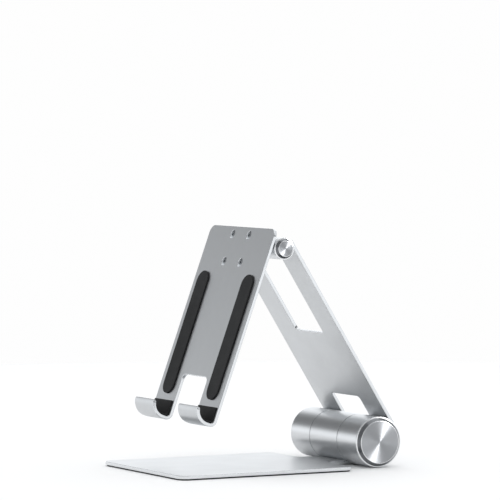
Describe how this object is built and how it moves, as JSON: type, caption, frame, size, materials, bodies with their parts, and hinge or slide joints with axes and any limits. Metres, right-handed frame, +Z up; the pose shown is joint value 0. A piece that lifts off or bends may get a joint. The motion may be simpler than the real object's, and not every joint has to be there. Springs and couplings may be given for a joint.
{
  "type": "tablet stand",
  "caption": "Folding aluminium tablet stand: flat base, leaning arm with windows and a hooked holder, joined by friction hinges.",
  "frame": {"origin": "centre of the base mat's underside, on the surface that the stand rests on", "axes": "+X to the user's right, +Y to the back, away from the user, +Z up"},
  "size_m": [0.1076, 0.1511, 0.1432],
  "materials": {
    "anodised_sheet": "fine bead-blasted anodised sheet, satin",
    "turned_aluminium": "turned round the axis, brushed",
    "spun_cap": "spun disc face with a diamond-cut rim",
    "black_rubber": "matt silicone rubber",
    "dark_washer": "matt acetal",
    "bronze": "oiled sintered bronze",
    "steel": "zinc-plated"
  },
  "bodies": {
    "base": {"base_plate": "anodised_sheet", "base_mat": "black_rubber", "base_screws": "steel", "lower_middle_knuckle": "turned_aluminium", "lower_shaft": "steel", "lower_shaft_pin": "steel", "lower_seam_washer_left": "dark_washer", "lower_seam_washer_right": "dark_washer", "lower_thrust_washer_left": "bronze", "lower_thrust_washer_right": "bronze", "lower_disc_springs_left": "steel", "lower_disc_springs_right": "steel", "lower_lock_nut_left": "steel", "lower_lock_nut_right": "steel"},
    "arm": {"arm_plate": "anodised_sheet", "arm_screws": "steel", "lower_outer_knuckle_left": "turned_aluminium", "lower_outer_knuckle_right": "turned_aluminium", "lower_bush_left": "bronze", "lower_bush_right": "bronze", "lower_end_cap_left": "spun_cap", "lower_end_cap_right": "spun_cap", "upper_outer_knuckle_left": "turned_aluminium", "upper_outer_knuckle_right": "turned_aluminium", "upper_bush_left": "bronze", "upper_bush_right": "bronze", "upper_end_cap_left": "spun_cap", "upper_end_cap_right": "spun_cap"},
    "holder": {"upper_saddle_knuckle": "turned_aluminium", "upper_shaft": "steel", "upper_shaft_pin": "steel", "upper_seam_washer_left": "dark_washer", "upper_seam_washer_right": "dark_washer", "upper_thrust_washer_left": "bronze", "upper_thrust_washer_right": "bronze", "upper_disc_springs_left": "steel", "upper_disc_springs_right": "steel", "upper_lock_nut_left": "steel", "upper_lock_nut_right": "steel", "holder_plate": "anodised_sheet", "saddle_screws": "steel", "hook_lining_left": "black_rubber", "hook_lining_right": "black_rubber", "back_pad_left": "black_rubber", "back_pad_right": "black_rubber"}
  },
  "joints": [
    {"name": "lower_hinge", "type": "hinge", "parent": "base", "child": "arm", "pos_m": [0, 0.0792, 0.0154], "axis": [-1, 0, 0], "range_deg": [-12, 115]},
    {"name": "upper_hinge", "type": "hinge", "parent": "arm", "child": "holder", "pos_m": [0, 0.01694, 0.13149], "axis": [-1, 0, 0], "range_deg": [-50, 95]}
  ]
}
